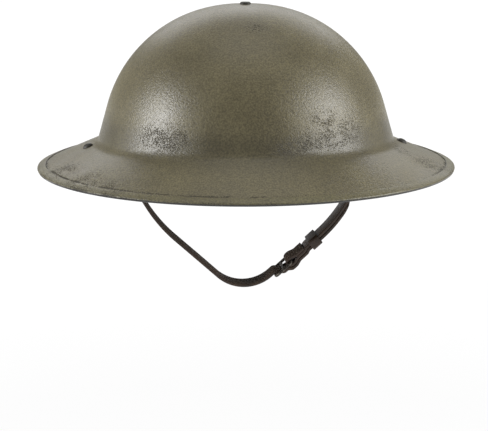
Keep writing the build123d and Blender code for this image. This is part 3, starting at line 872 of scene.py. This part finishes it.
def cord_rings(points, radius, sides=6):
    """Rings along a thin cord; the radius is one value or one for each point."""
    rings = []
    for index, point in enumerate(points):
        way = way_at(points, index)
        side = way.cross(point - Vector((0, 0, -0.03))).normalized()
        up = side.cross(way)
        thick = radius[index] if isinstance(radius, list) else radius
        rings.append([point + (side * cos(turn) + up * sin(turn)) * thick for turn in turns(sides)])
    return rings


twine = []
for row in range(net_rows):
    for column in range(net_columns):
        here = net_point(row, column)
        if row < net_rows - 1:
            for step in ((0, -1) if row % 2 == 0 else (0, 1)):
                there = net_point(row + 1, column + step)
                belly = (here + there) / 2 + Vector((0, 0, -0.0002))
                quarter = here.lerp(belly, 0.5)
                last = belly.lerp(there, 0.5)
                twine.append(cord_rings([here, quarter, belly, last, there], twine_radius))
        # The knot is a tight lump of the same twine
        rise = net_point(min(row + 1, net_rows - 1), column) - net_point(max(row - 1, 0), column)
        rise.normalize()
        lump = 1 + 0.25 * noise.noise(here * 900)
        swell = [0.0004, 0.00095 * lump, 0.00115 * lump, 0.00095 * lump, 0.0004]
        spots = [here + rise * (part - 2) * knot_step for part in range(5)]
        twine.append(cord_rings(spots, swell, 8))
for column in range(net_columns):
    # Loops at the top go round the lace, and loops at the foot go through the head band
    knot = net_point(net_rows - 1, column)
    outward = Vector((knot.x, knot.y, 0)).normalized()
    lace_spot = Vector((outward.x * lace_run, outward.y * lace_run, lace_height))
    around = Vector((-outward.y, outward.x, 0)) * 0.0006
    back = lace_spot - outward * loop_back
    over = lace_spot + Vector((0, 0, loop_rise)) - around
    under = lace_spot - Vector((0, 0, loop_rise)) + around
    twine.append(cord_rings([knot, over, back, under, knot], twine_radius * 0.9))
    knot = net_point(0, column)
    outward = Vector((knot.x, knot.y, 0)).normalized()
    risen = knot + Vector((0, 0, 0.0011))
    sink = knot + outward * 0.0012 + Vector((0, 0, 0.0022))
    twine.append(cord_rings([knot, risen, sink, sink + outward * 0.0008], twine_radius))
foot_line = [net_point(0, step / 4) for step in range(net_columns * 4)]
twine.append(cord_rings(foot_line + foot_line[:2], twine_radius * 1.3))


def cotton(name, base, twist):
    """Cotton cord: soft and matt, grimy in its twist."""
    material, tree, shader, place = new_finish(name)
    shader.inputs["Sheen Weight"].default_value = 0.25
    grime_and_shade = cloud(tree, place, 120, 4, 0.65)
    plies = mottle(tree, place, twist, 3, 0.65)
    dark = tinted(base, 0.55)
    colour = shade(tree, grime_and_shade, dark, base)
    colour = shade(tree, plies, colour, tinted(dark, 0.6), 0.3)
    coat(tree, shader, colour, 0.9, [(plies, 0.0004, 0.6)])
    return material


net = skin("twine_net", twine, [cotton("net_twine", (0.42, 0.35, 0.23, 1), 2200)], capped=True, crease=pi)
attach(net, "root")
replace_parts(net, "crown_net")

lace = []
lace_steps = 260
ply_offset = 0.0006
for ply in (0, pi):
    points = []
    for step in range(lace_steps + 1):
        turn = -pi / 2 + 2 * pi * step / lace_steps
        twist = ply + turn * 24
        reach = lace_run + ply_offset * cos(twist)
        points.append(Vector((reach * cos(turn), reach * sin(turn), lace_height + ply_offset * sin(twist))))
    lace.append(cord_rings(points, 0.00066))
# Its two ends are tied at the front
knot_place = Vector((0, -lace_run, lace_height - 0.0006))
bight = []
for turn in turns(24) + [2 * pi]:
    bight.append(knot_place + Vector((0.0004 * sin(turn * 2), 0.0017 * cos(turn), 0.0017 * sin(turn))))
lace.append(cord_rings(bight, 0.0009))
tail_line = [
    (0.0006, 0.0002, 0, 0.001),
    (0.0022, 0.0006, -0.0012, 0.001),
    (0.0036, 0.001, -0.0038, 0.001),
    (0.0044, 0.0016, -0.0072, 0.00095),
    (0.0041, 0.0024, -0.0108, 0.0009),
    (0.0046, 0.003, -0.0132, 0.0006),
]
for side in (-1, 1):
    tail = [knot_place + Vector((side * apart, back, down)) for apart, back, down, thick in tail_line]
    lace.append(cord_rings(tail, [point[3] for point in tail_line]))
lace_cotton = cotton("lace_cotton", (0.47, 0.41, 0.29, 1), 1800)
draw_lace = skin("twisted_lace", lace, [lace_cotton], capped=True, crease=pi)
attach(draw_lace, "root")
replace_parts(draw_lace, "draw_lace")


# Chin strap, long part: one strip of brown leather, folded round the left bale and riveted to itself.
# It goes round the chin and weaves through the slide buckle on the right.
# Its rounded free end lies over the short part.
leather = 0.002
strap_width = 0.019
bar_place = Vector((0.091331, -0.016028))
high_lean = radians(31)
low_lean = radians(48)
bend_radius = 0.1
upper_run = 0.042
loop_end, flex_end = 0.017, 0.037
bar_pitch = 0.007
edge_round = 0.0004
strap_grid = 0.0016
high_way = Vector((-sin(high_lean), -cos(high_lean)))
high_out = Vector((cos(high_lean), -sin(high_lean)))
low_way = Vector((-sin(low_lean), -cos(low_lean)))
low_out = Vector((cos(low_lean), -sin(low_lean)))
bend_run = bend_radius * tan((low_lean - high_lean) / 2)
bend_place = bar_place + high_way * (upper_run + bend_run)
keeper_along = bend_run + 0.005
fold_along = bend_run + 0.014
top_bar = fold_along + 0.013
middle_bar = top_bar + bar_pitch
foot_bar = middle_bar + bar_pitch
chin_along = bend_place.x / sin(low_lean)
chin_radius = (chin_along - foot_bar - 0.002) * tan(low_lean)
wrap = 0.00235
over_single = 0.00225
over_double = 0.00325
over_fold = 0.0046


def high_spot(along, out):
    """A place by the strap's upper run: along from the bale's bar, and out from its middle line."""
    return bar_place + high_way * along + high_out * out


def low_spot(along, out):
    """A place by the strap's lower run, counted from its bend."""
    return bend_place + low_way * along + low_out * out


def bend_spot(out):
    """The corner between the two runs, for a line that lies outside the strap's middle line."""
    return bend_place + (high_out + low_out).normalized() * out / cos((low_lean - high_lean) / 2)


def twin(stations):
    """The same places on the strap's other side."""
    return [(Vector((-place.x, place.y)), radius) for place, radius in stations]


def block(half, low, high, corner, turn_step):
    """The outline of a strip with four rounded edges."""
    corners = [(-half, low), (half, low), (half, high), (-half, high)]
    return rounded(corners, [corner] * 4, turn_step)


def leather_strip(name, stations, tip=0.0):
    """A strip of leather along a line of rounded corners in the plane across the helmet."""
    line = rounded([place for place, radius in stations], [radius for place, radius in stations], radians(12))
    paced = []
    for here, there in zip(line, line[1:]):
        pieces = max(1, int((there - here).length / strap_grid))
        paced += [here.lerp(there, part / pieces) for part in range(pieces)]
    paced.append(line[-1])
    lengths = [0.0]
    for here, there in zip(paced, paced[1:]):
        lengths.append(lengths[-1] + (there - here).length)
    rings = []
    for index, place in enumerate(paced):
        way = way_at(paced, index)
        grain_side = Vector((-way.y, way.x))
        left_over = lengths[-1] - lengths[index]
        broad = 1.0
        if left_over < tip:
            broad = max(0.12, sqrt(1 - (1 - left_over / tip) ** 2))
        broad *= 1 + 0.008 * noise.noise(Vector((lengths[index] * 60, 0, 0)))
        ring = []
        for across, above in strap_section:
            side_lift = noise.noise(Vector((lengths[index] * 45, across * 90, 4))) * 0.00008
            spot = place + grain_side * (above + side_lift)
            ring.append((spot.x, across * broad, spot.y))
        rings.append(ring)
    strip = skin(name, [rings], [leather_grain, leather_flesh, leather_edge], capped=True, sides=strap_sides)
    return strip


strap_section = block(strap_width / 2, -leather / 2, leather / 2, edge_round, radians(25))
# The grain side shows outward, the flesh side inward, and the cut edges between them
strap_sides = []
for place, following in zip(strap_section, strap_section[1:] + strap_section[:1]):
    if min(place.y, following.y) > (leather - edge_round) / 2:
        strap_sides.append(0)
    elif max(place.y, following.y) < (edge_round - leather) / 2:
        strap_sides.append(1)
    else:
        strap_sides.append(2)


def grain_leather(name, base, worn, crease_lines):
    """Brown strap leather: waxed, creased across, and pressed with a line near each edge if asked for."""
    material, tree, shader, place = new_finish(name)
    crease = crazing(tree, scaled(tree, place, (1, 0.22, 1)), 520, 0.09)
    crease = calc(tree, "MULTIPLY", crease, cloud(tree, place, 70, 4, 0.65, 0.4, 0.65))
    pores = mottle(tree, place, 1900, 3, 0.6)
    tone = cloud(tree, place, 65, 5, 0.65)
    rubbed = cloud(tree, place, 140, 5, 0.7, 0.52, 0.74)
    colour = shade(tree, tone, tinted(base, 0.5), base)
    colour = shade(tree, rubbed, colour, worn, 0.55)
    colour = shade(tree, crease, colour, (0.012, 0.007, 0.004, 1), 0.6)
    layers = [(pores, 0.0001, 0.4), (crease, -0.00015, 0.6)]
    if crease_lines:
        off = calc(tree, "ABSOLUTE", node(tree, "SeparateXYZ", {0: place}).outputs["Y"])
        off = calc(tree, "ABSOLUTE", calc(tree, "SUBTRACT", off, 0.0078))
        line = ramp(tree, off, 0.00035, 0.0001)
        colour = shade(tree, line, colour, (0.014, 0.008, 0.004, 1), 0.6)
        layers.append((line, -0.0003, 0.8))
    coat(tree, shader, colour, ramp(tree, rubbed, 0, 1, 0.4, 0.6), layers)
    return material


leather_grain = grain_leather("leather_grain", (0.07, 0.034, 0.016, 1), (0.16, 0.085, 0.04, 1), True)
leather_edge = grain_leather("leather_edge", (0.045, 0.023, 0.012, 1), (0.12, 0.07, 0.038, 1), False)
leather_flesh, tree, shader, place = new_finish("leather_flesh")
nap = cloud(tree, place, 800, 5, 0.75, 0.35, 0.65)
stain = cloud(tree, place, 60, 4, 0.6)
colour = shade(tree, stain, (0.022, 0.014, 0.009, 1), (0.07, 0.042, 0.024, 1))
colour = shade(tree, nap, colour, (0.11, 0.075, 0.048, 1), 0.35)
coat(tree, shader, colour, 0.85, [(nap, 0.0003, 0.6)])

bale_fold = [
    (high_spot(loop_end, -0.001), 0),
    (high_spot(0.008, -0.001), 0.008),
    (high_spot(0.0015, -0.0027), 0.006),
    (high_spot(-0.0027, -0.0027), 0.00265),
    (high_spot(-0.0027, 0.0027), 0.00265),
    (high_spot(0.0015, 0.0027), 0.006),
    (high_spot(0.008, 0.001), 0.008),
    (high_spot(0.019, 0.001), 0.02),
    (high_spot(0.025, 0), 0.03),
]
crossing = asin(2 * wrap / bar_pitch)
wrap_corner = wrap * tan(crossing / 2)
chin_place = bend_place + low_way * chin_along
chin_place += Vector((wrap / cos(low_lean) / 2, wrap / sin(low_lean) / 2))
weave = [
    (low_spot(foot_bar - wrap_corner, -wrap), wrap),
    (low_spot(middle_bar + wrap_corner, wrap), wrap),
    (low_spot(middle_bar - leather, wrap), leather),
    (low_spot(top_bar + leather, over_fold), leather),
    (low_spot(top_bar - leather, over_fold), leather),
    (low_spot(top_bar - 3 * leather, over_double), leather),
    (low_spot(fold_along, over_double), leather),
    (low_spot(fold_along - leather, over_single), leather),
    (bend_spot(over_single), bend_radius + over_single),
    (high_spot(0.04, over_single), 0),
]
long_leather = leather_strip(
    "long_leather",
    bale_fold + [(bend_place, bend_radius), (chin_place, chin_radius)] + twin(weave),
    tip=strap_width / 2,
)
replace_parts(long_leather, "strap_loop_left", "strap_flex_left", "long_strap")
loop_foot = (high_spot(loop_end, 0).x, 0, high_spot(loop_end, 0).y)
flex_foot = (high_spot(flex_end, 0).x, 0, high_spot(flex_end, 0).y)
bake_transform(long_leather)

rivet_brass = dark_metal("rivet_brass", brass_dull, brass_bright, 1.0, 0.42)
dress(("strap_rivet_left", "strap_rivet_right"), rivet_brass)


# Chin strap, short part: it hangs from the right bale in the same way and holds the buckle.
# Its lower end is folded round the buckle's upper bar and sewn down on its inner side.
buckle_fold = [
    (low_spot(fold_along - leather, 0), 0.004),
    (low_spot(fold_along + 0.0005, 0.001), 0.004),
    (low_spot(top_bar - 3 * leather, 0.001), 0.004),
    (low_spot(top_bar - leather, wrap), 0.004),
    (low_spot(top_bar + wrap, wrap), wrap),
    (low_spot(top_bar + wrap, -wrap), wrap),
    (low_spot(top_bar - leather, -wrap), 0.004),
    (low_spot(top_bar - 3 * leather, -0.001), 0.004),
    (low_spot(fold_along, -0.001), 0),
]
short_leather = leather_strip("short_leather", twin(bale_fold + [(bend_place, bend_radius)] + buckle_fold))
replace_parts(short_leather, "short_strap", "strap_flex_right", "strap_loop_right")
loop_foot = (-loop_foot[0], 0, loop_foot[2])
flex_foot = (-flex_foot[0], 0, flex_foot[2])
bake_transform(short_leather)
seams = []
inward = Vector((low_out.x, 0, -low_out.y))
for along in (fold_along + 0.0018, top_bar - 0.0078):
    spot = low_spot(along, -leather)
    for step in range(-2, 3):
        seams.append((Vector((-spot.x, step * 0.0036, spot.y)), Vector((0, 1, 0)), inward))
stitches("fold_stitches", seams, "chin_strap")


# Slide buckle: a wire frame with a bar across its middle, lacquered black and worn to the steel.
# The short leather is sewn round its upper bar, and the long one weaves through the rest.
lacquer = (0.03, 0.025, 0.02, 1)
lacquer_worn = (0.2, 0.18, 0.15, 1)
dress(("slide_buckle",), dark_metal("buckle_lacquer", lacquer, lacquer_worn, 0.6, 0.5))


# Keeper: a closed loop of thinner leather that slides along the strap and holds its free end down.
# It is cut from the same hide, and it grips by nothing but its own snug fit.
keeper_sheet = 0.0014
keeper_half = 0.004
keeper_play = 0.0003
keeper_off = leather / 2 + keeper_play + keeper_sheet / 2
keeper_side = strap_width / 2 + keeper_play + keeper_sheet / 2
keeper_line = block(keeper_side, -keeper_off, over_single + keeper_off, 0.0013, radians(12))
keeper_section = block(keeper_half, -keeper_sheet / 2, keeper_sheet / 2, edge_round, radians(30))
rings = []
for index, place in enumerate(keeper_line):
    way = (keeper_line[(index + 1) % len(keeper_line)] - keeper_line[index - 1]).normalized()
    off = Vector((way.y, -way.x))
    ring = []
    for along, above in keeper_section:
        across, out = place + off * above
        spot = low_spot(keeper_along + along, out)
        ring.append((-spot.x, across, spot.y))
    rings.append(ring)
keeper = skin("leather_keeper", [rings], [leather_edge], joined=True)
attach(keeper, "keeper")
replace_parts(keeper, "strap_keeper")
